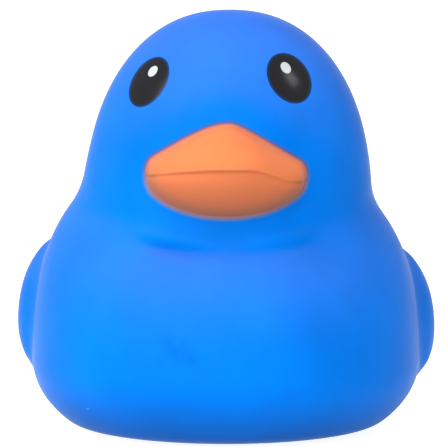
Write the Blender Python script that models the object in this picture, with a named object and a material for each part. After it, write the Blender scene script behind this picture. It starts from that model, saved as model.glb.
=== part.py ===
"""Rubber duck: a hollow soft vinyl moulding in one piece, with a vent hole in its base.

Units are metres. +Z is up, the duck looks along -Y and stands on Z = 0, over the origin.
The skin starts as a cube cut into a grid and blown up to a ball. Each point of the ball is
sent out along its own direction until it leaves the body or the head, whichever is farther,
and the tail, the wings and the bill are then drawn out of that skin. The hollow is the same
form, smaller by the wall. It is cut out, with the base's shallow recess and the vent.
"""

import math

import bmesh
import bpy
import numpy as np

# Body: a broad egg cut flat at the base
BODY_WIDTH = 0.0788
BODY_CHEST = 0.0450  # from the body's middle to the breast
BODY_RUMP = 0.0410  # from the body's middle to the rump, without the tail
BODY_MIDDLE = 0.0010  # where along Y the body is widest
BODY_LEVEL = 0.0147  # height at which the body is widest
BODY_DROP = 0.0215  # from that level down to where the egg would close, below the base
BODY_SHOULDER = 0.0440  # from that level up to where the egg closes inside the head
BODY_BREAST_RISE = 0.0372  # the same at the breast, which lies below the throat
BODY_BREAST_SLOPE = (0.0080, 0.0360)  # where along -Y the shoulders begin and end their fall
BODY_BACK_RISE = 0.0242  # the same at the rump, where the back is low
BODY_BACK_SLOPE = (-0.0080, 0.0340)  # where along Y the back begins and ends its fall
BODY_TUCK = 0.0060  # how far breast and rump draw in at the base
BELLY_ROUNDNESS = 2.06  # 2 is an ellipse, more is fuller
SHOULDER_ROUNDNESS = 2.47
BASE_ROUNDING = 0.0034

# Head: an upright egg that widens a little towards the neck
HEIGHT = 0.0850
HEAD_WIDTH = 0.0576
HEAD_LEVEL = 0.0447
HEAD_MIDDLE = -0.0080
HEAD_FACE = 0.0275  # from the head's middle to the face
HEAD_NAPE = 0.0260  # from the head's middle to the nape
HEAD_DROP = 0.0453  # from the head's level down to where the egg closes inside the body
HEAD_FLARE = 11.2  # widening towards the neck, as a share of the width for each metre down
HEAD_LEAN = 0.0008  # the crown sits a little to one side
CROWN_ROUNDNESS = 2.233
NECK_FILLET = 0.0030
NAPE_FILLET = 0.0100
NAPE_TURN = 0.8  # how far a direction turns to the back before it takes all of that fillet

# Tail: the rump drawn back and up
TAIL_CENTRE = (0.0400, 0.0350)
TAIL_SPREAD = (0.0110, 0.0095, 0.0110)
TAIL_PULL = 0.0090
TAIL_LIFT = 0.0150
TAIL_CLEAR = 0.0200  # the pull fades out below this height, so the base stays flat

# Bill: drawn forward out of the face, with a step around it and a mouth groove
BILL_WIDTH = 0.0305
BILL_LEVEL = 0.0540
BILL_RISE = 0.0096
BILL_DEPTH = 0.0078
GABLE_POWERS = (1.15, 1.6)  # across and up, 1 is a straight gable and 2 is round
BILL_REACH = 0.0110
BILL_LOWER_SHARE = 0.88  # how far the lower half reaches, against the upper
BILL_TOP_POWER = 1.3  # 1 is a straight slope from mouth to brow
BILL_UNDER_POWER = 0.7
BILL_PLAN_POWERS = (2.4, 0.7)
BILL_STEP = 0.0007
BILL_STEP_WIDTH = 0.0009
MOUTH_RISE = 0.0014  # the mouth's middle above the bill's level
MOUTH_SAG = 0.0022  # how far its corners hang below its middle
MOUTH_DEPTH = 0.0009
MOUTH_HALF_WIDTH = 0.0007

# Wings: padded leaves with three feather tips, on both sides, placed by Y and Z
WING_ROOT = (0.0090, 0.0242)
WING_ROOT_RADIUS = 0.0152
WING_TIPS = ((0.0335, 0.0345), (0.0320, 0.0240), (0.0270, 0.0145))
WING_TIP_RADIUS = 0.0042
WING_THICKNESS = 0.0037
WING_DOME = 0.0121  # how far inside its outline a feather is at its full thickness
WING_STEP = 0.0007  # the crisp part of the wing's edge
WING_STEP_WIDTH = 0.0022
WING_SOFTENING = (0.0170, 0.0600)  # the outline melts into the flank between these heights
WING_SOFT_LENGTH = 0.0200  # from the root along Y to where it no longer does
WING_CLEAR = (0.0100, 0.0160)  # from the middle plane to where a wing may start and be full
FEATHER_STEP = 0.0006

# Shell and base
WALL = 0.0022
BASE_WALL = 0.0028
RECESS_DIAMETER = 0.0300  # the duck stands on the flat ring around it
RECESS_DEPTH = 0.0008
RECESS_DRAFT = 0.0008  # how much wider the recess is at its mouth, on each side
VENT_DIAMETER = 0.0036
RELIEF_INSIDE = 0.15  # how much of the wings and the bill the hollow follows

# Mesh
SKIN_CUTS = 17
HOLLOW_CUTS = 11
RECESS_SIDES = 48
VENT_SIDES = 24
MAGNET = 0.0005  # points this near to the bill's outline or the mouth line gather on it
FEATURE_MARGIN = 0.0035
OUTLINE_MARGIN = 0.0022
TAIL_SHARE = 0.2  # points with more than this share of the tail's pull get a finer mesh
FAR = 0.12  # longer than any reach
HALVINGS = 24
TINY = 1e-6

VINYL_BLUE = (0.010, 0.230, 0.930, 1.0)
VINYL_ROUGHNESS = 0.45


def smoothstep(low, high, value):
    """0 below low, 1 above high, smooth between."""
    share = np.clip((value - low) / (high - low), 0.0, 1.0)
    return share * share * (3.0 - 2.0 * share)


def filleted_max(a, b, fillet):
    """The larger of two reaches, with a fillet where they meet."""
    near = np.clip(fillet - np.abs(a - b), 0.0, None)
    return np.maximum(a, b) + near * near / (4.0 * fillet)


def filleted_min(a, b, fillet):
    """The smaller of two reaches, with a rounding where they meet."""
    return -filleted_max(-a, -b, fillet)


def in_body(points, inset):
    """True inside the body's egg, made smaller by inset."""
    x, y, z = points.T
    low = np.clip((BODY_LEVEL - z) / BODY_LEVEL, 0.0, 1.0)
    reach_y = np.where(y < BODY_MIDDLE, BODY_CHEST, BODY_RUMP) - inset - BODY_TUCK * low**2
    rise = BODY_SHOULDER + (BODY_BACK_RISE - BODY_SHOULDER) * smoothstep(*BODY_BACK_SLOPE, y)
    rise = rise + (BODY_BREAST_RISE - BODY_SHOULDER) * smoothstep(*BODY_BREAST_SLOPE, -y)
    reach_z = np.where(z < BODY_LEVEL, BODY_DROP, rise) - inset
    power = np.where(z < BODY_LEVEL, BELLY_ROUNDNESS, SHOULDER_ROUNDNESS)
    plan = np.hypot(x / (BODY_WIDTH / 2 - inset), (y - BODY_MIDDLE) / reach_y)
    return plan**power + np.abs((z - BODY_LEVEL) / reach_z) ** power < 1.0


def in_head(points, inset):
    """True inside the head's egg, made smaller by inset."""
    x, y, z = points.T
    below = np.clip(HEAD_LEVEL - z, 0.0, None)
    half_width = HEAD_WIDTH / 2 * (1.0 + HEAD_FLARE * below) - inset
    lean = HEAD_LEAN * smoothstep(BODY_LEVEL, HEIGHT, z)
    reach_y = np.where(y < HEAD_MIDDLE, HEAD_FACE, HEAD_NAPE) - inset
    reach_z = np.where(z < HEAD_LEVEL, HEAD_DROP, HEIGHT - HEAD_LEVEL) - inset
    power = np.where(z < HEAD_LEVEL, 2.0, CROWN_ROUNDNESS)
    plan = np.hypot((x - lean) / half_width, (y - HEAD_MIDDLE) / reach_y)
    return plan**power + np.abs((z - HEAD_LEVEL) / reach_z) ** power < 1.0


def reach(inside, directions, centre, inset):
    """How far each direction runs from the centre before it leaves a form, by halving."""
    near = np.zeros(len(directions))
    far = np.full(len(directions), FAR)
    for _ in range(HALVINGS):
        middle = (near + far) / 2
        held = inside(centre + middle[:, None] * directions, inset)
        near = np.where(held, middle, near)
        far = np.where(held, far, middle)
    return near


def blown_up(directions, inset, floor):
    """The ball's points moved out to the skin of body and head, and cut flat by the floor."""
    centre = np.array((0.0, HEAD_MIDDLE / 2, (BODY_LEVEL + HEAD_LEVEL) / 2))
    to_nape = smoothstep(0.0, NAPE_TURN, directions[:, 1])
    skin = filleted_max(
        reach(in_body, directions, centre, inset),
        reach(in_head, directions, centre, inset),
        NECK_FILLET + (NAPE_FILLET - NECK_FILLET) * to_nape,
    )
    down = (floor - centre[2]) / np.minimum(directions[:, 2], -TINY)
    points = centre + filleted_min(skin, down, BASE_ROUNDING)[:, None] * directions
    points[:, 2] = np.where(points[:, 2] < floor + TINY, floor, points[:, 2])
    return points


def tail_pull(points):
    """How much of the tail's pull each point takes."""
    away = (points - np.array((0.0, *TAIL_CENTRE))) / np.array(TAIL_SPREAD)
    return np.exp(-0.5 * (away**2).sum(axis=1)) * smoothstep(0.0, TAIL_CLEAR, points[:, 2])


def with_tail(points):
    """The rump drawn back and up into a tail, as with a soft grab."""
    return points + tail_pull(points)[:, None] * np.array((0.0, TAIL_PULL, TAIL_LIFT))


def bill_edge(x, z):
    """How far inside the bill's outline a point of the front view lies, and the way out.

    The upper outline is a low gable with a round peak, and the lower one is half an ellipse.
    """
    upper = z > BILL_LEVEL
    across = np.abs(x) / (BILL_WIDTH / 2)
    tall = np.where(upper, BILL_RISE, -BILL_DEPTH)
    up = (z - BILL_LEVEL) / tall
    power_x = np.where(upper, GABLE_POWERS[0], 2.0)
    power_z = np.where(upper, GABLE_POWERS[1], 2.0)
    slope_x = power_x * across ** (power_x - 1) / (BILL_WIDTH / 2) * np.sign(x)
    slope_z = power_z * up ** (power_z - 1) / tall
    steepness = np.maximum(np.hypot(slope_x, slope_z), 1.0)
    inside = (1.0 - across**power_x - up**power_z) / steepness
    return inside, slope_x / steepness, slope_z / steepness


def across_bill(x):
    """0 on the bill's middle line and 1 at its corners."""
    return np.clip(np.abs(x) / (BILL_WIDTH / 2), 0.0, 1.0)


def bill_top(x):
    """Height of the bill's upper outline."""
    gable = 1.0 - across_bill(x) ** GABLE_POWERS[0]
    return BILL_LEVEL + BILL_RISE * gable ** (1 / GABLE_POWERS[1])


def bill_bottom(x):
    """Height of the bill's lower outline."""
    return BILL_LEVEL - BILL_DEPTH * np.sqrt(1.0 - across_bill(x) ** 2)


def mouth(x):
    """Height of the mouth line, whose corners hang."""
    return BILL_LEVEL + MOUTH_RISE - MOUTH_SAG * across_bill(x) ** 2


def bill_relief(points):
    """How far each point of the face is drawn forward."""
    x, y, z = points.T
    line = mouth(x)
    above = np.clip((z - line) / np.maximum(bill_top(x) - line, TINY), 0.0, 1.0)
    below = np.clip((line - z) / np.maximum(line - bill_bottom(x), TINY), 0.0, 1.0)
    top = 1.0 - above**BILL_TOP_POWER
    under = BILL_LOWER_SHARE * (1.0 - below**2) ** BILL_UNDER_POWER
    plan = (1.0 - across_bill(x) ** BILL_PLAN_POWERS[0]) ** BILL_PLAN_POWERS[1]
    groove = MOUTH_DEPTH * np.exp(-(((z - line) / MOUTH_HALF_WIDTH) ** 2))
    drawn = BILL_REACH * plan * np.where(z > line, top, under) + BILL_STEP - groove
    inside = smoothstep(0.0, BILL_STEP_WIDTH, bill_edge(x, z)[0])
    return np.where(y < HEAD_MIDDLE, inside * drawn, 0.0)


def gathered(points):
    """Points of the face near the bill's outline or the mouth line, slid onto them."""
    x, y, z = points.T.copy()
    face = y < HEAD_MIDDLE
    inside, out_x, out_z = bill_edge(x, z)
    slide = np.where(face, inside * np.exp(-((inside / MAGNET) ** 2)), 0.0)
    x, z = x + slide * out_x, z + slide * out_z
    gap = mouth(x) - z
    in_bill = face & (bill_edge(x, z)[0] > BILL_STEP_WIDTH)
    z = z + np.where(in_bill, gap * np.exp(-((gap / MAGNET) ** 2)), 0.0)
    return np.stack((x, y, z), axis=1)


def feather_edge(side, tip):
    """How far inside a feather's outline a point of the side view lies.

    The outline is two circles, at the wing's root and at the feather's tip, and the two lines
    that touch both.
    """
    root = np.array(WING_ROOT)
    along = np.array(tip) - root
    length = np.hypot(*along)
    along = along / length
    offset = side - root
    forward = offset @ along
    aside = np.abs(offset @ np.array((-along[1], along[0])))
    sine = (WING_ROOT_RADIUS - WING_TIP_RADIUS) / length
    cosine = math.sqrt(1.0 - sine * sine)
    run = cosine * forward - sine * aside
    at_root = np.hypot(aside, forward) - WING_ROOT_RADIUS
    at_tip = np.hypot(aside, forward - length) - WING_TIP_RADIUS
    between = cosine * aside + sine * forward - WING_ROOT_RADIUS
    return -np.where(run < 0.0, at_root, np.where(run > cosine * length, at_tip, between))


def wing_edge(points):
    """How far inside the whole wing's outline a point of the side view lies."""
    return np.max([feather_edge(points[:, 1:], tip) for tip in WING_TIPS], axis=0)


def wing_relief(points):
    """How far each point of the flanks is raised, the upper feathers over the lower ones."""
    raised = np.zeros(len(points))
    forward = 1.0 - smoothstep(0.0, WING_SOFT_LENGTH, points[:, 1] - WING_ROOT[0])
    soft = smoothstep(*WING_SOFTENING, points[:, 2]) * forward
    for order, tip in enumerate(WING_TIPS):
        inside = feather_edge(points[:, 1:], tip)
        share = np.clip(inside / WING_DOME, 0.0, 1.0)
        dome = 1.0 - (1.0 - share) ** 2
        profile = dome + (smoothstep(0.0, 1.0, share) - dome) * soft
        height = (WING_THICKNESS - WING_STEP - order * FEATHER_STEP) * profile
        raised = np.maximum(raised, height + WING_STEP * smoothstep(0.0, WING_STEP_WIDTH, inside))
    return raised * smoothstep(*WING_CLEAR, np.abs(points[:, 0]))


def places(bm):
    """The places of all the vertices, as rows."""
    return np.array([vert.co for vert in bm.verts])


def put(bm, points):
    """Moves the vertices to the rows of points."""
    for vert, point in zip(bm.verts, points):
        vert.co = point


def new_ball(cuts):
    """A cube cut into a grid and blown up to a ball, with faces of about one size."""
    bm = bmesh.new()
    bmesh.ops.create_cube(bm, size=2.0)
    bmesh.ops.subdivide_edges(bm, edges=bm.edges[:], cuts=cuts, use_grid_fill=True)
    grid = np.tan(places(bm) * math.pi / 4)
    put(bm, grid / np.linalg.norm(grid, axis=1)[:, None])
    return bm


def refine(bm, near):
    """Halves the edges whose ends both lie near a fine feature of the skin."""
    fine = near(with_tail(blown_up(places(bm), 0.0, 0.0)))
    bm.verts.index_update()
    edges = [edge for edge in bm.edges if all(fine[vert.index] for vert in edge.verts)]
    bmesh.ops.subdivide_edges(bm, edges=edges, cuts=1, use_grid_fill=True)
    ball = places(bm)
    put(bm, ball / np.linalg.norm(ball, axis=1)[:, None])


def near_features(points):
    """True near the bill, the wings and the tail."""
    x, y, z = points.T
    bill = (bill_edge(x, z)[0] > -FEATURE_MARGIN) & (y < HEAD_MIDDLE)
    wing = (wing_edge(points) > -FEATURE_MARGIN) & (np.abs(x) > WING_CLEAR[0])
    return bill | wing | (tail_pull(points) > TAIL_SHARE)


def near_outlines(points):
    """True near the bill's outline, the mouth line and the wings' outline."""
    x, y, z = points.T
    inside = bill_edge(x, z)[0]
    at_mouth = (inside > 0.0) & (np.abs(z - mouth(x)) < OUTLINE_MARGIN)
    bill = (np.abs(inside) < OUTLINE_MARGIN) | at_mouth
    wing = np.abs(wing_edge(points) - WING_STEP_WIDTH / 2) < (WING_STEP_WIDTH + OUTLINE_MARGIN) / 2
    return bill & (y < HEAD_MIDDLE) | wing & (np.abs(x) > WING_CLEAR[0])


def draw_out(bm, follow):
    """Raises the wings along the skin's own normals and draws the bill forward."""
    put(bm, gathered(places(bm)))
    bm.normal_update()
    normals = np.array([vert.normal for vert in bm.verts])
    points = places(bm)
    forward = bill_relief(points)
    points = points + (follow * wing_relief(points))[:, None] * normals
    points[:, 1] -= follow * forward
    put(bm, points)


def vinyl():
    """Soft blue vinyl with a satin skin."""
    material = bpy.data.materials.new("vinyl_blue")
    material.use_nodes = True
    shader = material.node_tree.nodes["Principled BSDF"]
    shader.inputs["Base Color"].default_value = VINYL_BLUE
    shader.inputs["Roughness"].default_value = VINYL_ROUGHNESS
    shader.inputs["Metallic"].default_value = 0.0
    return material


def new_object(bm, name, collection, stand):
    """A smooth mesh object made from the bmesh and parented to the stand."""
    bmesh.ops.triangulate(bm, faces=bm.faces[:])
    mesh = bpy.data.meshes.new(name)
    bm.to_mesh(mesh)
    bm.free()
    mesh.shade_smooth()
    made = bpy.data.objects.new(name, mesh)
    made.parent = stand
    collection.objects.link(made)
    return made


def new_skin(collection, stand):
    """The outer skin as one closed solid."""
    bm = new_ball(SKIN_CUTS)
    refine(bm, near_features)
    refine(bm, near_outlines)
    put(bm, with_tail(blown_up(places(bm), 0.0, 0.0)))
    draw_out(bm, 1.0)
    skin = new_object(bm, "duck_body", collection, stand)
    skin.data.materials.append(vinyl())
    return skin


def new_hollow(collection, stand):
    """The hollow inside, as a cutter."""
    bm = new_ball(HOLLOW_CUTS)
    refine(bm, near_features)
    put(bm, with_tail(blown_up(places(bm), WALL, BASE_WALL)))
    draw_out(bm, RELIEF_INSIDE)
    return new_object(bm, "hollow", collection, stand)


def new_plug(name, sides, low_radius, high_radius, depth, collection, stand):
    """A round cutter that reaches from below the base to that depth into it."""
    bm = bmesh.new()
    bmesh.ops.create_cone(
        bm,
        cap_ends=True,
        segments=sides,
        radius1=low_radius,
        radius2=high_radius,
        depth=2 * depth,
    )
    return new_object(bm, name, collection, stand)


def new_recess(collection, stand):
    """The shallow recess in the base, as a cutter that is at its true width on the floor."""
    radius = RECESS_DIAMETER / 2
    low, high = radius + RECESS_DRAFT, radius - RECESS_DRAFT
    return new_plug("recess", RECESS_SIDES, low, high, RECESS_DEPTH, collection, stand)


def new_vent(collection, stand):
    """The vent hole through the base, as a cutter."""
    radius = VENT_DIAMETER / 2
    return new_plug("vent", VENT_SIDES, radius, radius, 2 * BASE_WALL, collection, stand)


def cut(target, cutter):
    """Takes the cutter out of the target and keeps it as a wire guide."""
    cutter.hide_render = True
    cutter.display_type = "WIRE"
    boolean = target.modifiers.new(cutter.name, "BOOLEAN")
    boolean.operation = "DIFFERENCE"
    boolean.solver = "EXACT"
    boolean.object = cutter


def new_collection(name):
    """A collection linked to the scene."""
    collection = bpy.data.collections.new(name)
    bpy.context.scene.collection.children.link(collection)
    return collection


def main():
    for old in list(bpy.data.objects):
        bpy.data.objects.remove(old)
    parts = new_collection("rubber_duck")
    cutters = new_collection("cutters")
    stand = bpy.data.objects.new("stand", None)
    parts.objects.link(stand)
    duck = new_skin(parts, stand)
    along = [vert.co.y for vert in duck.data.vertices]
    stand.location.y = -(min(along) + max(along)) / 2
    cut(duck, new_hollow(cutters, stand))
    cut(duck, new_recess(cutters, stand))
    cut(duck, new_vent(cutters, stand))


main()
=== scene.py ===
"""Rubber duck: the looks of a soft vinyl bath duck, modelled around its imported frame.

Units are metres. +Z is up, the duck looks along -Y and stands on Z = 0, over the origin.
The skin starts as a cube cut into a fine grid and blown up to a ball. Each point of the ball is
sent out along its own direction until it leaves the body or the head, whichever is farther. The
tail, the wings, the bill and the base's recess are then drawn out of that skin. How far each
point lies inside the painted outlines is kept as an attribute, which the material reads.
"""

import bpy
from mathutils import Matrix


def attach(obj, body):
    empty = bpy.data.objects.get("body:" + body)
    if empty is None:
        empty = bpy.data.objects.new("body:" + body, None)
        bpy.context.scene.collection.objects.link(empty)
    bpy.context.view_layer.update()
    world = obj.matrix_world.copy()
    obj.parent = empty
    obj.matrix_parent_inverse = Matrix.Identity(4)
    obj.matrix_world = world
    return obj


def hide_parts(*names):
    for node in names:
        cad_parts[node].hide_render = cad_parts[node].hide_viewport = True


bl_info = {
    "name": "Rubber Duck",
    "version": (1, 0, 0),
    "blender": (4, 5, 0),
    "location": "View3D > Sidebar > Duck",
    "description": "Models a soft vinyl bath duck with a painted bill and painted eyes",
    "category": "Add Mesh",
}

import math

import bmesh
import bpy
import numpy as np
from bpy.props import FloatProperty, FloatVectorProperty, PointerProperty
from mathutils import Vector

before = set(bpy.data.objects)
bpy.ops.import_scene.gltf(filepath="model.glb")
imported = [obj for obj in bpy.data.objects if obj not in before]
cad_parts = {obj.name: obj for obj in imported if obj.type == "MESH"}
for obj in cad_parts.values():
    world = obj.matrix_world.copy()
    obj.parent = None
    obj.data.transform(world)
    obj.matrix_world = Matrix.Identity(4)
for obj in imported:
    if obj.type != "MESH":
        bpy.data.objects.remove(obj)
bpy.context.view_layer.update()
CAD_NODE = "duck_body"
CAD_BODY = "root"

MM = 0.001

# Body: a broad egg cut flat at the base
BODY_CHEST = 45.0 * MM  # from the body's middle to the breast
BODY_RUMP = 41.0 * MM  # from the body's middle to the rump, without the tail
BODY_MIDDLE = 1.0 * MM  # where along Y the body is widest
BODY_LEVEL = 14.7 * MM  # height at which the body is widest
BODY_DROP = 21.5 * MM  # from that level down to where the egg would close, below the base
BODY_SHOULDER = 44.0 * MM  # from that level up to where the egg closes inside the head
BODY_BREAST_RISE = 37.2 * MM  # the same at the breast, which sits below the throat
BODY_BREAST_SLOPE = (8.0 * MM, 36.0 * MM)  # where along -Y the shoulders begin and end their fall
BODY_BACK_RISE = 24.2 * MM  # the same at the rump, where the back is low
BODY_BACK_SLOPE = (-8.0 * MM, 34.0 * MM)
BODY_TUCK = 6.0 * MM  # how far breast and rump draw in at the base
BODY_TILT = 0.032  # the shoulder on +X is lower by this share of X
BELLY_ROUNDNESS = 2.06  # 2 is an ellipse, more is fuller
SHOULDER_ROUNDNESS = 2.47
BASE_ROUNDING = 3.4 * MM

# Head: an upright egg that widens a little towards the neck
HEAD_LEVEL = 44.7 * MM
HEAD_MIDDLE = -8.0 * MM
HEAD_FACE = 27.5 * MM  # from the head's middle to the face
HEAD_NAPE = 26.0 * MM  # from the head's middle to the nape
HEAD_DROP = 45.3 * MM  # from the head's level down to where the egg closes inside the body
HEAD_FLARE = 11.2  # widening towards the neck, as a share of the width for each metre down
HEAD_LEAN = 0.75 * MM  # the crown sits a little to one side
CROWN_ROUNDNESS = 2.233
COLLAR = (0.020, 0.003)  # how much wider the head is just above the neck, on -X and on +X
COLLAR_SPAN = (46.0 * MM, 60.0 * MM)

# Neck: a soft fold where the head meets the breast
NECK_FILLET = 3.0 * MM
BREAST_FILLET = 3.4 * MM
BREAST_TURN = 0.75  # how far a direction turns to the front before it takes all of that fillet
NAPE_FILLET = 10.0 * MM
NAPE_TURN = 0.8  # how far a direction turns to the back before it takes all of that fillet
FOLD_LEVEL = 38.8 * MM  # height of the fold at its middle
FOLD_RISE = 1.3 * MM  # how much higher the fold lies at its ends
FOLD_HALF_LENGTH = 16.0 * MM
FOLD_FADE = (12.0 * MM, 19.0 * MM)  # where along X fold and roll fade out
FOLD_DEPTH = 0.9 * MM
FOLD_WIDTH = 0.85 * MM
FOLD_STRONGEST = -11.0 * MM  # where along X the fold is deepest
FOLD_STRONG_WIDTH = 8.0 * MM
FOLD_SHARE = 0.26  # the fold's depth elsewhere, as a share of that
ROLL_HEIGHT = 0.7 * MM  # how far the roll above the fold stands out
ROLL_LEVEL = 2.1 * MM  # how far above the fold it lies
ROLL_WIDTH = 1.5 * MM
ROLL_CALM = 6.0 * MM  # the roll flattens this near to the middle

# Breast: two soft lobes with a shallow valley between them
VALLEY_DEPTH = 0.35 * MM
VALLEY_WIDTH = 6.0 * MM
VALLEY_X = 4.5 * MM
VALLEY_START = (8.0 * MM, 18.0 * MM)  # fades in between these heights
VALLEY_END = (30.0 * MM, 40.0 * MM)  # fades out between these heights

# Tail: the rump drawn back and up
TAIL_CENTRE = (40.0 * MM, 35.0 * MM)  # the grabbed place, by Y and Z
TAIL_SPREAD = (11.0 * MM, 9.5 * MM, 11.0 * MM)  # how far along X, Y and Z the grab reaches
TAIL_PULL = 8.4 * MM  # back
TAIL_LIFT = 15.0 * MM  # up
TAIL_CLEAR = 20.0 * MM  # the pull fades out below this height, so the base stays flat

# Bill: an ellipse cut by a low roof, drawn forward out of the face
BILL_LEVEL = 54.0 * MM
BILL_HALF_HEIGHT = (8.4 * MM, 10.6 * MM)  # below its level and above it
ROOF_TOP = 63.15 * MM
ROOF_X = 0.5 * MM
ROOF_SLOPE = (0.655, 0.60)  # on -X and on +X
ROOF_ROUND = (6.0 * MM, 1.8 * MM)  # how round the ridge is, on -X and on +X
BILL_CORNER = 1.8 * MM  # rounding where the roof, the ellipse and the blunt ends meet
BILL_WIDENING = 1.03  # the ellipse's width against the bill's, whose ends cut it off
BILL_REACH = 11.0 * MM
BILL_LOWER_SHARE = 0.90  # how far the lower half reaches, against the upper
BILL_TOP_POWER = 1.3  # 1 is a straight slope from mouth to brow
BILL_PLAN_POWERS = (2.4, 0.7)  # seen from above, more and less are blunter
BILL_STEP = (0.05 * MM, 0.45 * MM)  # below the mouth and above it
BILL_STEP_WIDTH = (0.4 * MM, 0.8 * MM)
BILL_CREASE = 0.08 * MM  # how deep the face is pressed in around the bill
BILL_CREASE_WIDTH = 0.45 * MM
MOUTH_RISE = 0.9 * MM  # the mouth's middle above the bill's level
MOUTH_SAG = (1.8 * MM, 2.6 * MM)  # how far its corners hang, on -X and on +X
MOUTH_DIP = (0.27, 0.87)  # where on +X the line dips, as shares of the half width
MOUTH_DEPTH = 0.28 * MM
MOUTH_HALF_WIDTH = 0.45 * MM
MOUTH_SOFTNESS = 0.55 * MM  # how far the upper half rounds over into the lower one

# Wings: padded leaves with three feather tips, on both sides, placed by Y and Z
WING_ROOT = (9.0 * MM, 23.4 * MM)
WING_ROOT_RADIUS = 16.0 * MM
WING_TIPS = ((33.5 * MM, 34.5 * MM), (32.0 * MM, 24.0 * MM), (27.0 * MM, 14.5 * MM))
WING_TIP_RADIUS = 4.2 * MM
WING_DOME = 12.1 * MM  # how far inside its outline a feather is at its full thickness
WING_HEAD = (17.0 * MM, 60.0 * MM)  # going up, the outline melts into the flank between these
WING_FOOT = (9.0 * MM, 23.0 * MM)  # and going down between these
WING_MELTING = (9.0 * MM, 29.0 * MM)  # where along Y those meltings end
WING_FRONT = (-4.0 * MM, 8.0 * MM)  # where along Y the melting of the front edge ends
WING_STEP = 0.7 * MM  # the crisp part of the wing's edge
WING_STEP_WIDTH = 2.2 * MM
WING_STEP_MELTED = 3.0  # how many times wider that part is where the outline melts
WING_CLEAR = (10.0 * MM, 16.0 * MM)  # along X, where a wing may start and where it may be full
WING_SHIFT = (1.04 * MM, -1.04 * MM)  # the wing on -X sits higher than the one on +X
WING_GROOVE = 0.18 * MM
WING_GROOVE_WIDTH = 2.0 * MM
FEATHER_STEP = 0.6 * MM

# Base
BASE_MIDDLE = 1.27 * MM  # where along Y recess and vent lie, before the skin is centred
RECESS_DEPTH = 0.8 * MM
RECESS_DRAFT = 0.6 * MM
VENT_DEPTH = 7.0 * MM
VENT_EDGE = 0.35 * MM

# Eyes and their dots: ellipses in the front view, as (x, z, long half axis, short half axis,
# turn of the long axis)
EYES = (
    (-15.0 * MM, 71.05 * MM, 5.39 * MM, 3.20 * MM, math.radians(56.5)),
    (12.2 * MM, 71.85 * MM, 5.25 * MM, 3.88 * MM, math.radians(126.0)),
)
DOTS = (
    (-14.25 * MM, 73.1 * MM, 1.20 * MM, 0.72 * MM, math.radians(50.0)),
    (11.55 * MM, 73.85 * MM, 1.20 * MM, 0.86 * MM, math.radians(129.0)),
)

# Marks of use: rubbed spots on the breast and pale specks, as (x, z, radius)
RUBS = (
    (-10.8 * MM, 22.2 * MM, 1.3 * MM),
    (-9.3 * MM, 20.8 * MM, 2.2 * MM),
    (-6.9 * MM, 19.4 * MM, 1.2 * MM),
    (-12.8 * MM, 18.2 * MM, 1.1 * MM),
)
SPECKS = (
    (-26.9 * MM, 7.6 * MM, 0.45 * MM),
    (-1.2 * MM, 30.5 * MM, 0.35 * MM),
)

# Mesh
SKIN_CUTS = 63  # in each edge of the cube
FEATURE_MARGIN = 2.5 * MM  # how far around a feature the mesh is finer
OUTLINE_MARGIN = 1.2 * MM  # how far from an outline it is finer still
LINE_MARGIN = 0.7 * MM  # how far from the bill's outline and the mouth line it is finest
TAIL_SHARE = 0.3  # points with more than this share of the tail's pull get a finer mesh
FAR = 0.12  # longer than any reach
HALVINGS = 26  # steps of the search for the skin along each direction
TINY = 1e-6  # stands in for zero
OUTSIDE = -20.0 * MM  # the outlines' value behind the face, where no paint is

# Finish: the sizes of its random spots
CLOUD_SIZE = 18.0 * MM
CLOUD_DETAIL = 3.0
MOTTLE_SIZE = 3.5 * MM
PEEL_SIZE = 1.6 * MM
GRAIN_SIZE = 0.28 * MM
SPRAY_SIZE = 0.22 * MM
FLECK_SIZE = 6.0 * MM
SOFT_DETAIL = 1.0

# Finish: where each paint, mark, painted shade or painted highlight starts and is full
LOWER_SPAN = (-3.0 * MM, 2.0 * MM)  # below the mouth line
MOUTH_SHADE_SPAN = (0.1 * MM, 0.45 * MM)  # painted shade along the mouth line, above and below it
RIM_SHADE_SPAN = (-1.05 * MM, -0.25 * MM)  # painted shade around the bill's step; inside the bill's outline, as the next three
BILL_SPAN = (-0.65 * MM, 0.55 * MM)
THIN_SHADED_SPAN = (0.5 * MM, 3.2 * MM)  # thinly sprayed, and in painted shade where the bill turns away, up to here
BILL_SHADE_SPAN = (-8.0 * MM, -2.0 * MM)  # the vinyl has no painted highlight from here on, in the bill's shade
BILL_SHADE_BELOW = 1.5 * MM  # how much farther out that begins below the mouth
SPRAY_RAGGED = (0.15 * MM, 0.35 * MM)  # the sprayed edge's unevenness, and how much more below
EYE_SPAN = (-0.06 * MM, 0.06 * MM)
EYE_RIM_SPAN = (0.05 * MM, 0.65 * MM)
RUB_MOTTLE = (0.3, 0.55)
SPECK_SPAN = (0.5, 0.8)
VENT_SHADE_SPAN = (0.3, 0.9)
HIGHLIGHT_SPAN = (0.0, 0.8)  # painted highlight, by how far a face looks up
# painted shade near the base, up to this height
BASE_SHADE_HEIGHT = 12.0 * MM

# Finish: colours, painted shade and highlight among them, and how much of each
CLOUD_SHADES = (0.76, 1.24)
HIGHLIGHT_RED = 0.023  # painted highlight, added to the red where the vinyl looks up
# painted shade near the base: how dark, and how much of it
BASE_SHADE_TONE, BASE_SHADE_SHARE = 0.45, 0.7
# painted shade in the fold below the throat
CREASE_SHADE, CREASE_SHARE = 0.5, 0.4
RUB_COLOUR, RUB_SHARE = (0.0, 0.08, 0.27, 1.0), 0.5
SPECK_COLOUR, SPECK_SHARE = (0.35, 0.55, 0.95, 1.0), 0.25
ORANGE_SHADES = (0.97, 1.03)
# painted shade on the bill's lower half, which faces down
UNDERSIDE_SHADE_COLOUR, UNDERSIDE_SHADE_SHARE = (0.30, 0.085, 0.04, 1.0), 0.5
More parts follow.
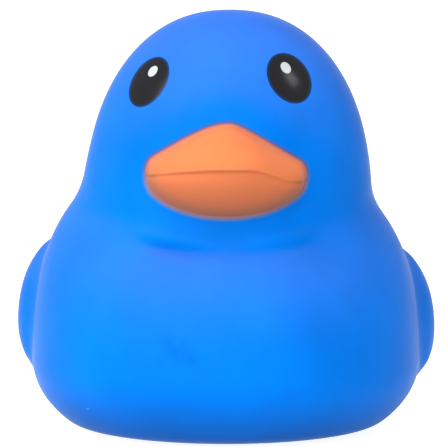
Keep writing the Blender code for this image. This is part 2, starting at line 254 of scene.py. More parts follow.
# thinly sprayed paint with painted shade, at the bill's rim below the mouth
THIN_SHADED_COLOUR, THIN_SHADED_SHARE = (0.22, 0.10, 0.055, 1.0), 0.5
# painted shade along the mouth line, more at its corners
MOUTH_SHADE_COLOUR = (0.20, 0.06, 0.02, 1.0)
MOUTH_SHADE_SHARE, MOUTH_CORNER_SHADE_SHARE = 0.1, 0.4
RIM_SHADE_COLOURS = ((0.045, 0.06, 0.14, 1.0), (0.11, 0.12, 0.20, 1.0))  # painted shade around the bill, above and below the mouth
EYE_RIM_COLOUR = (0.004, 0.022, 0.075, 1.0)
# painted shade down the vent, where the hollow behind it is dark
VENT_SHADE_COLOUR = (0.0, 0.01, 0.05, 1.0)
FLECK_SHADE = 0.995

# Finish: roughness, coat and relief
UNEVEN_ROUGHNESS = 0.08
RUB_ROUGHNESS = 0.1
BASE_ROUGHNESS = 0.95
BILL_ROUGHNESS = 0.46
EYE_ROUGHNESS = 0.30
EYE_COAT = 0.35
PEEL_SHARE = 1.2  # the height of the vinyl's soft unevenness, against its grain
PAINT_THICKNESS = 0.03 * MM

# Camera: in front of the duck and a little above it
CAMERA_RISE = math.radians(4.5)
CAMERA_DISTANCE = 0.599
CAMERA_TARGET = (-0.00051, 0.0, 0.0416)
CAMERA_SENSOR = 36.0  # in millimetres, as the lens
CAMERA_LENS = 237.6

# Stage
LIGHT_AIM = (0.0, 0.0, 0.045)
KEY_PLACE = (-0.5, -0.87, 0.70)
KEY_SPREAD = math.radians(80.0)
FILL_PLACE = (0.80, -0.17, 0.89)
FILL_SIZE = 0.17
FLOOR_RADIUS = 500.0  # so wide that its rim lies on the horizon
FLOOR_SIDES = 96


class DuckSizes(bpy.types.PropertyGroup):
    """The duck's main sizes."""

    height: FloatProperty(
        name="Height",
        description="From the base to the crown",
        default=85.0 * MM,
        unit="LENGTH",
    )
    body_width: FloatProperty(
        name="Body width",
        description="Across the body, without the wings",
        default=78.8 * MM,
        unit="LENGTH",
    )
    head_width: FloatProperty(
        name="Head width",
        description="Across the head at the eyes",
        default=57.6 * MM,
        unit="LENGTH",
    )
    bill_width: FloatProperty(
        name="Bill width",
        description="From corner to corner of the bill",
        default=31.2 * MM,
        unit="LENGTH",
    )
    wing_thickness: FloatProperty(
        name="Wing thickness",
        description="How far a wing stands off the flank",
        default=3.7 * MM,
        unit="LENGTH",
    )
    recess: FloatProperty(
        name="Recess",
        description="Diameter of the shallow recess in the base",
        default=30.0 * MM,
        unit="LENGTH",
    )
    vent: FloatProperty(
        name="Vent",
        description="Diameter of the vent hole in the base",
        default=3.6 * MM,
        unit="LENGTH",
    )


class DuckFinish(bpy.types.PropertyGroup):
    """The duck's colours and finish."""

    vinyl: FloatVectorProperty(
        name="Vinyl",
        description="Colour of the moulded vinyl",
        default=(0.0, 0.124, 0.53),
        subtype="COLOR",
        size=3,
    )
    bill: FloatVectorProperty(
        name="Bill",
        description="Colour of the sprayed bill",
        default=(0.62, 0.17, 0.06),
        subtype="COLOR",
        size=3,
    )
    eye: FloatVectorProperty(
        name="Eye",
        description="Colour of the eyes' black paint",
        default=(0.008, 0.008, 0.010),
        subtype="COLOR",
        size=3,
    )
    dot: FloatVectorProperty(
        name="Eye dot",
        description="Colour of the white dot in each eye",
        default=(0.385, 0.41, 0.41),
        subtype="COLOR",
        size=3,
    )
    roughness: FloatProperty(
        name="Roughness",
        description="Roughness of the bare vinyl",
        default=0.44,
        subtype="FACTOR",
        min=0.0,
        max=1.0,
    )
    grain: FloatProperty(
        name="Grain",
        description="Height of the vinyl's fine grain",
        default=0.02 * MM,
        unit="LENGTH",
        precision=5,
    )


class DuckStage(bpy.types.PropertyGroup):
    """The floor and the light around the duck."""

    floor: FloatVectorProperty(
        name="Floor",
        description="Colour of the floor's surface",
        default=(0.36, 0.36, 0.36),
        subtype="COLOR",
        size=3,
    )
    glow: FloatProperty(
        name="Floor glow",
        description="Strength of the floor's own light, as on a light table",
        default=0.90,
    )
    sky: FloatProperty(
        name="Ambient light",
        description="Strength of the light from all around",
        default=0.60,
    )
    key: FloatProperty(
        name="Key light",
        description="Strength of the broad light on the left, in watts for each square metre",
        default=5.05,
    )
    fill: FloatProperty(
        name="Fill light",
        description="Power of the small light on the right, in watts",
        default=0.6,
    )


def smoothstep(low, high, value):
    """0 below low, 1 above high, smooth between."""
    share = np.clip((value - low) / (high - low), 0.0, 1.0)
    return share * share * (3.0 - 2.0 * share)


def bump(value, width):
    """1 at zero and fading out on both sides, as a bell curve."""
    return np.exp(-((value / width) ** 2))


def filleted_max(a, b, fillet):
    """The larger of two fields, with a fillet where they meet."""
    near = np.clip(fillet - np.abs(a - b), 0.0, None)
    return np.maximum(a, b) + near * near / (4.0 * fillet)


def filleted_min(a, b, fillet):
    """The smaller of two fields, with a rounding where they meet."""
    return -filleted_max(-a, -b, fillet)


def in_body(points, sizes):
    """True inside the body's egg."""
    x, y, z = points.T
    low = np.clip((BODY_LEVEL - z) / BODY_LEVEL, 0.0, 1.0)
    reach_y = np.where(y < BODY_MIDDLE, BODY_CHEST, BODY_RUMP) - BODY_TUCK * low**2
    to_back = smoothstep(*BODY_BACK_SLOPE, y)
    to_breast = smoothstep(*BODY_BREAST_SLOPE, -y)
    rise = BODY_SHOULDER + (BODY_BACK_RISE - BODY_SHOULDER) * to_back
    rise = rise + (BODY_BREAST_RISE - BODY_SHOULDER) * to_breast - BODY_TILT * x
    reach_z = np.where(z < BODY_LEVEL, BODY_DROP, rise)
    power = np.where(z < BODY_LEVEL, BELLY_ROUNDNESS, SHOULDER_ROUNDNESS)
    plan = np.hypot(x / (sizes.body_width / 2), (y - BODY_MIDDLE) / reach_y)
    return plan**power + np.abs((z - BODY_LEVEL) / reach_z) ** power < 1.0


def in_head(points, sizes):
    """True inside the head's egg."""
    x, y, z = points.T
    below = np.clip(HEAD_LEVEL - z, 0.0, None)
    collar = np.where(x < 0.0, *COLLAR) * (1.0 - smoothstep(*COLLAR_SPAN, z))
    half_width = sizes.head_width / 2 * (1.0 + HEAD_FLARE * below + collar)
    lean = HEAD_LEAN * smoothstep(BODY_LEVEL, sizes.height, z)
    reach_y = np.where(y < HEAD_MIDDLE, HEAD_FACE, HEAD_NAPE)
    reach_z = np.where(z < HEAD_LEVEL, HEAD_DROP, sizes.height - HEAD_LEVEL)
    power = np.where(z < HEAD_LEVEL, 2.0, CROWN_ROUNDNESS)
    plan = np.hypot((x - lean) / half_width, (y - HEAD_MIDDLE) / reach_y)
    return plan**power + np.abs((z - HEAD_LEVEL) / reach_z) ** power < 1.0


def reach(inside, directions, centre, sizes):
    """How far each direction runs from the centre before it leaves a form, by halving."""
    near = np.zeros(len(directions))
    far = np.full(len(directions), FAR)
    for _ in range(HALVINGS):
        middle = (near + far) / 2
        held = inside(centre + middle[:, None] * directions, sizes)
        near = np.where(held, middle, near)
        far = np.where(held, far, middle)
    return near


def above_fold(points):
    """How far above the fold below the throat each point lies."""
    return points[:, 2] - FOLD_LEVEL - FOLD_RISE * (points[:, 0] / FOLD_HALF_LENGTH) ** 2


def at_throat(points):
    """1 on the front around the fold, fading out to both sides."""
    side = 1.0 - smoothstep(*FOLD_FADE, np.abs(points[:, 0]))
    return np.where(points[:, 1] < HEAD_MIDDLE, side, 0.0)


def fold_share(points):
    """How deep the fold is at each point, from 0 to 1."""
    strong = bump(points[:, 0] - FOLD_STRONGEST, FOLD_STRONG_WIDTH)
    strong = FOLD_SHARE + (1.0 - FOLD_SHARE) * strong
    return bump(above_fold(points), FOLD_WIDTH) * strong * at_throat(points)


def throat(points):
    """The fold below the throat and the roll above it, as a height."""
    roll = ROLL_HEIGHT * bump(above_fold(points) - ROLL_LEVEL, ROLL_WIDTH)
    roll = roll * (1.0 - bump(points[:, 0], ROLL_CALM)) * at_throat(points)
    return roll - FOLD_DEPTH * fold_share(points)


def breast_valley(points):
    """The shallow valley between the breast's two lobes, as a depth."""
    x, y, z = points.T
    span = smoothstep(*VALLEY_START, z) * (1.0 - smoothstep(*VALLEY_END, z))
    return np.where(y < HEAD_MIDDLE, VALLEY_DEPTH * bump(x - VALLEY_X, VALLEY_WIDTH) * span, 0.0)


def blown_up(directions, sizes):
    """The ball's points moved out to the skin of body and head, and cut flat by the floor."""
    centre = np.array((0.0, HEAD_MIDDLE / 2, (BODY_LEVEL + HEAD_LEVEL) / 2))
    to_nape = smoothstep(0.0, NAPE_TURN, directions[:, 1])
    body = reach(in_body, directions, centre, sizes)
    head = reach(in_head, directions, centre, sizes)
    to_breast = smoothstep(0.0, BREAST_TURN, -directions[:, 1])
    fillet = NECK_FILLET + (NAPE_FILLET - NECK_FILLET) * to_nape
    fillet = fillet + (BREAST_FILLET - NECK_FILLET) * to_breast
    skin = filleted_max(body, head, fillet)
    rough = centre + skin[:, None] * directions
    skin = skin + throat(rough) - breast_valley(rough)
    down = -centre[2] / np.minimum(directions[:, 2], -TINY)
    points = centre + filleted_min(skin, down, BASE_ROUNDING)[:, None] * directions
    points[:, 2] = np.where(points[:, 2] < TINY, 0.0, points[:, 2])
    return points


def tail_pull(points):
    """How much of the tail's pull each point takes."""
    away = (points - np.array((0.0, *TAIL_CENTRE))) / np.array(TAIL_SPREAD)
    return np.exp(-0.5 * (away**2).sum(axis=1)) * smoothstep(0.0, TAIL_CLEAR, points[:, 2])


def with_tail(points):
    """The rump drawn back and up into a tail, as with a soft grab."""
    return points + tail_pull(points)[:, None] * np.array((0.0, TAIL_PULL, TAIL_LIFT))


def roof(x):
    """Height of the bill's upper edge, a roof with a round ridge, and its slope."""
    aside = x - ROOF_X
    slope = np.where(aside < 0.0, *ROOF_SLOPE)
    ridge = np.where(aside < 0.0, *ROOF_ROUND)
    run = np.hypot(aside, ridge)
    return ROOF_TOP - slope * (run - ridge), slope * aside / run


def bill_edge(x, z, sizes):
    """How far inside the bill's outline a point of the front view lies."""
    height, slope = roof(x)
    under_roof = (height - z) / np.hypot(1.0, slope)
    half_width = sizes.bill_width / 2
    up = z - BILL_LEVEL
    half_height = np.where(up < 0.0, *BILL_HALF_HEIGHT)
    wide = half_width * BILL_WIDENING
    share = np.hypot(x / wide, up / half_height)
    pull = np.maximum(np.hypot(x / wide**2, up / half_height**2), 1.0)
    in_ellipse = (1.0 - share) * share / pull
    from_end = half_width - np.abs(x)
    return filleted_min(filleted_min(under_roof, in_ellipse, BILL_CORNER), from_end, BILL_CORNER)


def across_bill(x, sizes):
    """0 on the bill's middle line and 1 at the ends of its ellipse."""
    return np.clip(np.abs(x) / (sizes.bill_width / 2 * BILL_WIDENING), 0.0, 1.0)


def bill_top(x, sizes):
    """Height of the bill's upper outline."""
    arch = BILL_LEVEL + BILL_HALF_HEIGHT[1] * np.sqrt(1.0 - across_bill(x, sizes) ** 2)
    return filleted_min(roof(x)[0], arch, BILL_CORNER)


def bill_bottom(x, sizes):
    """Height of the bill's lower outline."""
    return BILL_LEVEL - BILL_HALF_HEIGHT[0] * np.sqrt(1.0 - across_bill(x, sizes) ** 2)


def mouth(x, sizes):
    """Height of the mouth line, whose corners hang, the one on +X with a dip."""
    across = across_bill(x, sizes)
    dip = MOUTH_SAG[1] * smoothstep(*MOUTH_DIP, across)
    sag = np.where(x < 0.0, MOUTH_SAG[0] * across**2, dip)
    return BILL_LEVEL + MOUTH_RISE - sag


def bill_relief(points, sizes):
    """How far each point of the face is drawn forward."""
    x, y, z = points.T
    line = mouth(x, sizes)
    above = np.clip((z - line) / np.maximum(bill_top(x, sizes) - line, TINY), 0.0, 1.0)
    below = np.clip((line - z) / np.maximum(line - bill_bottom(x, sizes), TINY), 0.0, 1.0)
    top = 1.0 - above**BILL_TOP_POWER
    under = BILL_LOWER_SHARE * (1.0 - below**2)
    plan = (1.0 - across_bill(x, sizes) ** BILL_PLAN_POWERS[0]) ** BILL_PLAN_POWERS[1]
    groove = MOUTH_DEPTH * bump(z - line, MOUTH_HALF_WIDTH)
    upper = smoothstep(-MOUTH_SOFTNESS, MOUTH_SOFTNESS, z - line)
    step = BILL_STEP[0] + (BILL_STEP[1] - BILL_STEP[0]) * upper
    width = BILL_STEP_WIDTH[0] + (BILL_STEP_WIDTH[1] - BILL_STEP_WIDTH[0]) * upper
    drawn = BILL_REACH * plan * (under + (top - under) * upper) + step - groove
    inside = bill_edge(x, z, sizes)
    crease = BILL_CREASE * bump(inside + BILL_CREASE_WIDTH, BILL_CREASE_WIDTH)
    forward = smoothstep(0.0, 1.0, inside / width) * drawn - crease
    return np.where(y < HEAD_MIDDLE, forward, 0.0)


def feather_edge(side, tip):
    """How far inside a feather's outline a point of the side view lies.

    The outline is two circles, at the wing's root and at the feather's tip, and the two lines
    that touch both.
    """
    root = np.array(WING_ROOT)
    along = np.array(tip) - root
    length = np.hypot(*along)
    along = along / length
    offset = side - root
    forward = offset @ along
    aside = np.abs(offset @ np.array((-along[1], along[0])))
    sine = (WING_ROOT_RADIUS - WING_TIP_RADIUS) / length
    cosine = math.sqrt(1.0 - sine * sine)
    run = cosine * forward - sine * aside
    at_root = np.hypot(aside, forward) - WING_ROOT_RADIUS
    at_tip = np.hypot(aside, forward - length) - WING_TIP_RADIUS
    between = cosine * aside + sine * forward - WING_ROOT_RADIUS
    return -np.where(run < 0.0, at_root, np.where(run > cosine * length, at_tip, between))


def side_view(points):
    """The points' Y and Z, each side's wing brought to the same height."""
    shift = np.where(points[:, 0] < 0.0, *WING_SHIFT)
    return np.stack((points[:, 1], points[:, 2] - shift), axis=1)


def wing_edge(points):
    """How far inside the whole wing's outline a point of the side view lies."""
    side = side_view(points)
    return np.max([feather_edge(side, tip) for tip in WING_TIPS], axis=0)


def wing_relief(points, sizes):
    """How far each point of the flanks is raised, the upper feathers over the lower ones."""
    side = side_view(points)
    raised = np.zeros(len(points))
    melting = smoothstep(*WING_HEAD, side[:, 1]) + 1.0 - smoothstep(*WING_FOOT, side[:, 1])
    soft = melting * (1.0 - smoothstep(*WING_MELTING, side[:, 0]))
    soft = np.maximum(soft, 1.0 - smoothstep(*WING_FRONT, side[:, 0]))
    crisp = WING_STEP_WIDTH * (1.0 + (WING_STEP_MELTED - 1.0) * soft)
    for order, tip in enumerate(WING_TIPS):
        inside = feather_edge(side, tip)
        share = np.clip(inside / WING_DOME, 0.0, 1.0)
        dome = 1.0 - (1.0 - share) ** 2
        profile = dome + (smoothstep(0.0, 1.0, share) - dome) * soft
        height = (sizes.wing_thickness - WING_STEP - order * FEATHER_STEP) * profile
        raised = np.maximum(raised, height + WING_STEP * smoothstep(0.0, 1.0, inside / crisp))
    beside = wing_edge(points) + WING_GROOVE_WIDTH / 2
    groove = WING_GROOVE * (1.0 - soft) * bump(beside, WING_GROOVE_WIDTH)
    return (raised - groove) * smoothstep(*WING_CLEAR, np.abs(points[:, 0]))


def flank_way(points, sizes):
    """The way straight off the flank, as on the body's egg."""
    away = points - np.array((0.0, BODY_MIDDLE, BODY_LEVEL))
    grown = away / np.array((sizes.body_width / 2, BODY_RUMP, BODY_SHOULDER)) ** 2
    return grown / np.maximum(np.linalg.norm(grown, axis=1), TINY)[:, None]


def base_lift(points, sizes):
    """How far the base is hollowed, by its recess and its vent."""
    x, y, z = points.T
    away = np.hypot(x, y - BASE_MIDDLE)
    recess, vent = sizes.recess / 2, sizes.vent / 2
    lift = RECESS_DEPTH * (1.0 - smoothstep(recess - RECESS_DRAFT, recess + RECESS_DRAFT, away))
    lift = lift + VENT_DEPTH * (1.0 - smoothstep(vent, vent + VENT_EDGE, away))
    return np.where(z < TINY, lift, 0.0)


def ellipse_edge(points, spots):
    """How far inside the nearest of these ellipses of the front view a point lies."""
    x, y, z = points.T
    found = np.full(len(points), OUTSIDE)
    for spot_x, spot_z, long_half, short_half, turn in spots:
        aside, up = x - spot_x, z - spot_z
        along = aside * math.cos(turn) + up * math.sin(turn)
        across = up * math.cos(turn) - aside * math.sin(turn)
        share = np.hypot(along / long_half, across / short_half)
        pull = np.maximum(np.hypot(along / long_half**2, across / short_half**2), 1.0)
        found = np.maximum(found, (1.0 - share) * share / pull)
    return np.where(y < HEAD_MIDDLE, found, OUTSIDE)


def spot_cover(points, spots):
    """1 in the middle of these round spots of the front view, fading out at their rims."""
    x, y, z = points.T
    cover = np.zeros(len(points))
    for spot_x, spot_z, radius in spots:
        cover = np.maximum(cover, bump(np.hypot(x - spot_x, z - spot_z), radius))
    return np.where(y < HEAD_MIDDLE, cover, 0.0)


def places(bm):
    """The places of all the vertices, as rows."""
    return np.array([vert.co for vert in bm.verts])


def put(bm, points):
    """Moves the vertices to the rows of points."""
    for vert, point in zip(bm.verts, points):
        vert.co = point


def new_ball(cuts):
    """A cube cut into a grid and blown up to a ball, with faces of about one size."""
    bm = bmesh.new()
    bmesh.ops.create_cube(bm, size=2.0)
    bmesh.ops.subdivide_edges(bm, edges=bm.edges[:], cuts=cuts, use_grid_fill=True)
    grid = np.tan(places(bm) * math.pi / 4)
    put(bm, grid / np.linalg.norm(grid, axis=1)[:, None])
    return bm


def refine(bm, near, sizes):
    """Halves the edges whose ends both lie near a fine feature of the skin."""
    fine = near(with_tail(blown_up(places(bm), sizes)), sizes)
    bm.verts.index_update()
    edges = [edge for edge in bm.edges if all(fine[vert.index] for vert in edge.verts)]
    bmesh.ops.subdivide_edges(bm, edges=edges, cuts=1, use_grid_fill=True)
    ball = places(bm)
    put(bm, ball / np.linalg.norm(ball, axis=1)[:, None])


def near_base_rims(points, sizes, margin):
    """True near the rims of the recess and of the vent."""
    away = np.hypot(points[:, 0], points[:, 1] - BASE_MIDDLE)
    recess = np.abs(away - sizes.recess / 2) < RECESS_DRAFT + margin
    return (recess | (away < sizes.vent / 2 + margin)) & (points[:, 2] < TINY)


def near_features(points, sizes):
    """True near the bill, the eyes, the wings, the tail and the base's rims."""
    x, y, z = points.T
    bill = (bill_edge(x, z, sizes) > -FEATURE_MARGIN) & (y < HEAD_MIDDLE)
    eyes = ellipse_edge(points, EYES) > -FEATURE_MARGIN
    wing = (wing_edge(points) > -FEATURE_MARGIN) & (np.abs(x) > WING_CLEAR[0])
    tail = tail_pull(points) > TAIL_SHARE
    return bill | eyes | wing | tail | near_base_rims(points, sizes, FEATURE_MARGIN)


def near_outlines(points, sizes):
    """True near the outlines of bill, mouth, eyes, wings and base rims."""
    x, y, z = points.T
    inside = bill_edge(x, z, sizes)
    at_mouth = (inside > 0.0) & (np.abs(z - mouth(x, sizes)) < OUTLINE_MARGIN)
    bill = ((np.abs(inside) < OUTLINE_MARGIN) | at_mouth) & (y < HEAD_MIDDLE)
    eyes = np.abs(ellipse_edge(points, EYES)) < OUTLINE_MARGIN / 2
    dots = ellipse_edge(points, DOTS) > -OUTLINE_MARGIN / 2
    edge = wing_edge(points)
    wing = (np.abs(edge) < OUTLINE_MARGIN) & (np.abs(x) > WING_CLEAR[0])
    return bill | eyes | dots | wing | near_base_rims(points, sizes, OUTLINE_MARGIN / 2)


def near_lines(points, sizes):
    """True along the bill's outline and the mouth line."""
    x, y, z = points.T
    inside = bill_edge(x, z, sizes)
    at_mouth = (inside > 0.0) & (np.abs(z - mouth(x, sizes)) < LINE_MARGIN)
    return ((np.abs(inside) < LINE_MARGIN) | at_mouth) & (y < HEAD_MIDDLE)


def keep_attribute(mesh, name, values):
    """Keeps one number for each vertex on the mesh, for the material."""
    attribute = mesh.attributes.new(name, "FLOAT", "POINT")
    attribute.data.foreach_set("value", values.astype(np.float32))


def fitted(points):
    """The points centred along Y and put down on Z = 0."""
    low, high = points.min(axis=0), points.max(axis=0)
    return points - np.array((0.0, (low[1] + high[1]) / 2, low[2]))


def new_skin(sizes):
    """The duck's whole skin as one closed mesh, with its paint attributes."""
    bm = new_ball(SKIN_CUTS)
    refine(bm, near_features, sizes)
    refine(bm, near_outlines, sizes)
    refine(bm, near_lines, sizes)
    points = with_tail(blown_up(places(bm), sizes))
    x, y, z = points.T
    paints = {
        "bill_edge": np.where(y < HEAD_MIDDLE, bill_edge(x, z, sizes), OUTSIDE),
        "below_mouth": mouth(x, sizes) - z,
        "eye_edge": ellipse_edge(points, EYES),
        "dot_edge": ellipse_edge(points, DOTS),
        "fold": fold_share(points),
        "rub": spot_cover(points, RUBS),
        "speck": spot_cover(points, SPECKS),
        "vent": base_lift(points, sizes) / VENT_DEPTH,
    }
    moved = points + wing_relief(points, sizes)[:, None] * flank_way(points, sizes)
    moved[:, 1] -= bill_relief(points, sizes)
    moved[:, 2] += base_lift(points, sizes)
    put(bm, fitted(moved))
    bm.normal_update()
    # the height of each normal, which places the painted highlight
    paints["facing_up"] = np.array([vert.normal.z for vert in bm.verts])
    bmesh.ops.triangulate(bm, faces=[face for face in bm.faces if len(face.verts) > 4])
    mesh = bpy.data.meshes.new("duck_skin")
    bm.to_mesh(mesh)
    bm.free()
    mesh.shade_smooth()
    for name, values in paints.items():
        keep_attribute(mesh, name, values)
    skin = bpy.data.objects.new("duck_skin", mesh)
    bpy.context.scene.collection.objects.link(skin)
    return skin


class Field:
    """A number or colour that varies over the surface, held by a node's output."""

    def __init__(self, look, socket):
        self.look = look
        self.socket = socket

    def __add__(self, other):
        return self.look.math("ADD", self, other)

    def __radd__(self, other):
        return self.look.math("ADD", other, self)

    def __sub__(self, other):
        return self.look.math("SUBTRACT", self, other)

    def __rsub__(self, other):
        return self.look.math("SUBTRACT", other, self)

    def __mul__(self, other):
        return self.look.math("MULTIPLY", self, other)


class Look:
    """A material with its nodes."""

    def __init__(self, name):
        self.material = bpy.data.materials.new(name)
        self.material.use_nodes = True
        self.tree = self.material.node_tree
        self.shader = self.tree.nodes["Principled BSDF"]

    def feed(self, socket, value):
        """Links a field to an input, or sets a plain value on it."""
        if isinstance(value, Field):
            self.tree.links.new(value.socket, socket)
        else:
            socket.default_value = value

    def node(self, kind, settings, values, output=0):
        """A new node with its settings and then its inputs, as the field that it gives."""
        made = self.tree.nodes.new(kind)
        for name, value in settings.items():
            setattr(made, name, value)
        for name, value in values.items():
            self.feed(made.inputs[name], value)
        return Field(self, made.outputs[output])

    def math(self, operation, a, b):
        """The sum, product or other result of two numbers."""
        return self.node("ShaderNodeMath", {"operation": operation}, {0: a, 1: b})

    def attribute(self, name):
        """A number that the mesh keeps for each vertex."""
        return self.node("ShaderNodeAttribute", {"attribute_name": name}, {}, "Fac")

    def place(self):
        """The place on the piece, in metres."""
        return self.node("ShaderNodeTexCoord", {}, {}, "Object")

    def noise(self, size, detail=2.0):
        """Soft random spots of about this size, from 0 to 1."""
        values = {"Vector": self.place(), "Scale": 1.0 / size, "Detail": detail}
        return self.node("ShaderNodeTexNoise", {}, values, "Fac")

    def step(self, value, low, high):
        """0 where the value is below low, 1 above high and smooth between."""
        settings = {"interpolation_type": "SMOOTHSTEP"}
        values = {"Value": value, "From Min": low, "From Max": high}
        return self.node("ShaderNodeMapRange", settings, values, "Result")

    def mixed(self, share, a, b):
        """Colour a where the share is 0 and colour b where it is 1."""
        return self.node("ShaderNodeMix", {"data_type": "RGBA"}, {0: share, 6: a, 7: b}, 2)

    def blend(self, share, a, b):
        """Number a where the share is 0 and number b where it is 1."""
        return share * b + (1 - share) * a

    def finish(self, uniform, varying):
        """Sets the shader's uniform values and links its varying ones."""
        for name, value in {**uniform, **varying}.items():
            self.feed(self.shader.inputs[name], value)
        return self.material


def opaque(colour, light=1.0):
    """The colour with full alpha, made lighter or darker."""
    return (*(min(channel * light, 1.0) for channel in colour), 1.0)


def bare_vinyl(look, finish, mottle, in_bill_shade, base_shade):
    """The bare vinyl's colour and roughness: uneven, marked by use, painted highlight and shade.
    """
    cloud = look.noise(CLOUD_SIZE, CLOUD_DETAIL)
    # painted highlight: redder where the vinyl looks up, kept out of the bill's shade
    up_highlight = look.step(look.attribute("facing_up"), *HIGHLIGHT_SPAN) * (1 - in_bill_shade) * HIGHLIGHT_RED
    up_highlight = look.node("ShaderNodeCombineXYZ", {}, {"X": up_highlight})
    # painted shade in the fold below the throat
    crease = look.attribute("fold") * CREASE_SHARE
    rub = look.attribute("rub") * look.step(mottle, *RUB_MOTTLE)
    speck = look.step(look.attribute("speck"), *SPECK_SPAN)
    dark, light = (opaque(finish.vinyl, shade) for shade in CLOUD_SHADES)
    vinyl = look.mixed(cloud, dark, light)
    # painted shade near the base
    vinyl = look.mixed(base_shade * BASE_SHADE_SHARE, vinyl, opaque(finish.vinyl, BASE_SHADE_TONE))
    vinyl = look.mixed(crease, vinyl, opaque(finish.vinyl, CREASE_SHADE))
    vinyl = look.node("ShaderNodeVectorMath", {"operation": "ADD"}, {0: vinyl, 1: up_highlight})
    vinyl = look.mixed(rub * RUB_SHARE, vinyl, RUB_COLOUR)
    vinyl = look.mixed(speck * SPECK_SHARE, vinyl, SPECK_COLOUR)
    rough = finish.roughness + (mottle - 0.5) * UNEVEN_ROUGHNESS
    rough = rough + (cloud - 0.5) * UNEVEN_ROUGHNESS + rub * RUB_ROUGHNESS
    return vinyl, rough


def bill_orange(look, finish, mottle, lower):
    """The bill's paint, with painted shade below, at its thinly sprayed rim and along the mouth.
    """
    # the rim is thinly sprayed and in painted shade where the bill turns away
    thin_shaded = 1 - look.step(look.attribute("bill_edge"), *THIN_SHADED_SPAN)
    # painted shade along the mouth line
    below = look.attribute("below_mouth")
    away = look.node("ShaderNodeMath", {"operation": "ABSOLUTE"}, {0: below})
    line = 1 - look.step(away, *MOUTH_SHADE_SPAN)
    dark, light = (opaque(finish.bill, shade) for shade in ORANGE_SHADES)
    orange = look.mixed(mottle, dark, light)
    # painted shade on the bill's lower half, which faces down
    orange = look.mixed(lower * UNDERSIDE_SHADE_SHARE, orange, UNDERSIDE_SHADE_COLOUR)
    orange = look.mixed(thin_shaded * lower * THIN_SHADED_SHARE, orange, THIN_SHADED_COLOUR)
    return look.mixed(line * (thin_shaded * MOUTH_CORNER_SHADE_SHARE + MOUTH_SHADE_SHARE), orange, MOUTH_SHADE_COLOUR)


def painted_vinyl(finish):
    """Soft vinyl with a sprayed bill and printed eyes, a fine grain and a few marks of use."""
    look = Look("painted_vinyl")
    mottle = look.noise(MOTTLE_SIZE)
    spray = look.noise(SPRAY_SIZE, SOFT_DETAIL)
    lower = look.step(look.attribute("below_mouth"), *LOWER_SPAN)
    inside = look.attribute("bill_edge")
    edge = inside + (spray - 0.5) * (SPRAY_RAGGED[0] + lower * SPRAY_RAGGED[1])
    # painted shade around the bill's step, just outside its outline
    rim_shade = look.step(edge, *RIM_SHADE_SPAN)
    bill = look.step(edge, *BILL_SPAN)
    # 1 next to the bill, whose shade keeps the painted highlight off
    in_bill_shade = look.step(inside + lower * BILL_SHADE_BELOW, *BILL_SHADE_SPAN)
    eye_edge = look.attribute("eye_edge")
    eye = look.step(eye_edge, *EYE_SPAN)
    dot = look.step(look.attribute("dot_edge"), *EYE_SPAN)
    # painted shade down the vent
    vent = look.step(look.attribute("vent"), *VENT_SHADE_SPAN)
    height = look.node("ShaderNodeSeparateXYZ", {}, {"Vector": look.place()}, "Z")
    # 1 at the base and 0 from its height up, for the painted shade there
    base_shade = 1 - look.step(height, 0.0, BASE_SHADE_HEIGHT)

    vinyl, rough = bare_vinyl(look, finish, mottle, in_bill_shade, base_shade)
    orange = bill_orange(look, finish, mottle, lower)
    black = look.mixed(look.step(eye_edge, *EYE_RIM_SPAN), EYE_RIM_COLOUR, opaque(finish.eye))
    colour = look.mixed(rim_shade, vinyl, look.mixed(lower, *RIM_SHADE_COLOURS))
    colour = look.mixed(bill, colour, orange)
    colour = look.mixed(eye, colour, black)
    colour = look.mixed(dot, colour, opaque(finish.dot))
    colour = look.mixed(vent, colour, VENT_SHADE_COLOUR)

    # rougher near the base, over the same span as its painted shade
    rough = look.blend(base_shade, rough, BASE_ROUGHNESS)
    rough = look.blend(bill, rough, BILL_ROUGHNESS)
    rough = look.blend(eye, rough, EYE_ROUGHNESS)
    relief = look.noise(GRAIN_SIZE) * finish.grain + (eye + bill) * PAINT_THICKNESS
    relief = relief + look.noise(PEEL_SIZE, SOFT_DETAIL) * (finish.grain * PEEL_SHARE)
    raised = {"Strength": 1.0, "Distance": 1.0, "Height": relief}
    normal = look.node("ShaderNodeBump", {}, raised, "Normal")
    return look.finish(
        {
            "IOR": 1.48,
            "Specular IOR Level": 0.02,
            "Sheen Weight": 0.15,
            "Sheen Roughness": 0.26,
            "Coat Roughness": 0.16,
        },
        {
            "Base Color": colour,
            "Roughness": rough,
            "Coat Weight": eye * EYE_COAT,
            "Normal": normal,
        },
    )


def plain_floor(stage):
    """A smooth plain floor with a white light of its own, as on a light table."""
    look = Look("plain_floor")
    fleck = look.noise(FLECK_SIZE)
    colour = look.mixed(fleck, opaque(stage.floor, FLECK_SHADE), opaque(stage.floor))
    return look.finish(
        {
            "Roughness": 0.9,
            "Specular IOR Level": 0.1,
            "Emission Color": (1.0, 1.0, 1.0, 1.0),
            "Emission Strength": stage.glow,
        },
        {"Base Color": colour},
    )


def new_floor(stage):
    """A wide round floor, centred under the duck."""
    bm = bmesh.new()
    bmesh.ops.create_circle(bm, cap_ends=True, segments=FLOOR_SIDES, radius=FLOOR_RADIUS)
    mesh = bpy.data.meshes.new("floor")
    bm.to_mesh(mesh)
    bm.free()
    mesh.materials.append(plain_floor(stage))
    floor = bpy.data.objects.new("floor", mesh)
    bpy.context.scene.collection.objects.link(floor)
    return floor


def new_light(kind, name, place, target, power):
    """A light of this kind at that place, turned to the target."""
    lamp = bpy.data.objects.new(name, bpy.data.lights.new(name, kind))
    lamp.data.energy = power
    lamp.location = place
    lamp.rotation_mode = "QUATERNION"
    lamp.rotation_quaternion = (Vector(target) - Vector(place)).to_track_quat("-Z", "Y")
    bpy.context.scene.collection.objects.link(lamp)
    return lamp


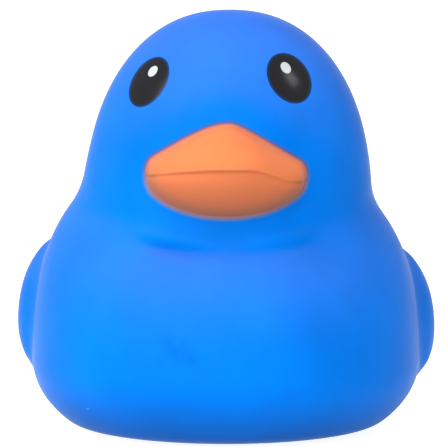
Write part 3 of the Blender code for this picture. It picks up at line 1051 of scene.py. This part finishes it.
def new_camera():
    """The camera at the photograph's viewing angle."""
    data = bpy.data.cameras.new("camera")
    data.lens = CAMERA_LENS
    data.sensor_width = CAMERA_SENSOR
    camera = bpy.data.objects.new("camera", data)
    back = Vector((0.0, -math.cos(CAMERA_RISE), math.sin(CAMERA_RISE)))
    camera.location = Vector(CAMERA_TARGET) + back * CAMERA_DISTANCE
    camera.rotation_mode = "QUATERNION"
    camera.rotation_quaternion = (-back).to_track_quat("-Z", "Y")
    bpy.context.scene.collection.objects.link(camera)
    bpy.context.scene.camera = camera


def light_sky(strength):
    """Even white light from all around."""
    world = bpy.data.worlds.new("studio")
    world.use_nodes = True
    background = world.node_tree.nodes["Background"]
    background.inputs["Color"].default_value = (1.0, 1.0, 1.0, 1.0)
    background.inputs["Strength"].default_value = strength
    bpy.context.scene.world = world


class OBJECT_OT_duck_skin(bpy.types.Operator):
    """Model the duck's skin in place of the frame's body"""

    bl_idname = "object.duck_skin"
    bl_label = "Duck Skin"

    def execute(self, context):
        skin = new_skin(context.scene.duck_sizes)
        skin.data.materials.append(painted_vinyl(context.scene.duck_finish))
        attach(skin, CAD_BODY)
        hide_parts(CAD_NODE)
        return {"FINISHED"}


class OBJECT_OT_duck_stage(bpy.types.Operator):
    """Set up the floor, the lights and the camera"""

    bl_idname = "object.duck_stage"
    bl_label = "Studio Stage"

    def execute(self, context):
        stage = context.scene.duck_stage
        new_floor(stage)
        light_sky(stage.sky)
        key = new_light("SUN", "key_light", KEY_PLACE, LIGHT_AIM, stage.key)
        key.data.angle = KEY_SPREAD
        fill = new_light("AREA", "fill_light", FILL_PLACE, LIGHT_AIM, stage.fill)
        fill.data.size = FILL_SIZE
        new_camera()
        context.scene.view_settings.view_transform = "Standard"
        return {"FINISHED"}


class VIEW3D_PT_duck(bpy.types.Panel):
    """The duck's sizes, finish and stage"""

    bl_label = "Rubber Duck"
    bl_idname = "VIEW3D_PT_duck"
    bl_space_type = "VIEW_3D"
    bl_region_type = "UI"
    bl_category = "Duck"

    def draw(self, context):
        scene = context.scene
        for settings, operator in (
            (scene.duck_sizes, None),
            (scene.duck_finish, OBJECT_OT_duck_skin.bl_idname),
            (scene.duck_stage, OBJECT_OT_duck_stage.bl_idname),
        ):
            column = self.layout.column(align=True)
            for name in settings.__annotations__:
                column.prop(settings, name)
            if operator:
                self.layout.operator(operator)


CLASSES = (
    DuckSizes,
    DuckFinish,
    DuckStage,
    OBJECT_OT_duck_skin,
    OBJECT_OT_duck_stage,
    VIEW3D_PT_duck,
)


def register():
    for kind in CLASSES:
        bpy.utils.register_class(kind)
    bpy.types.Scene.duck_sizes = PointerProperty(type=DuckSizes)
    bpy.types.Scene.duck_finish = PointerProperty(type=DuckFinish)
    bpy.types.Scene.duck_stage = PointerProperty(type=DuckStage)


def unregister():
    del bpy.types.Scene.duck_stage
    del bpy.types.Scene.duck_finish
    del bpy.types.Scene.duck_sizes
    for kind in reversed(CLASSES):
        bpy.utils.unregister_class(kind)


def main():
    register()
    bpy.ops.object.duck_skin()
    bpy.ops.object.duck_stage()


if __name__ == "__main__":
    main()
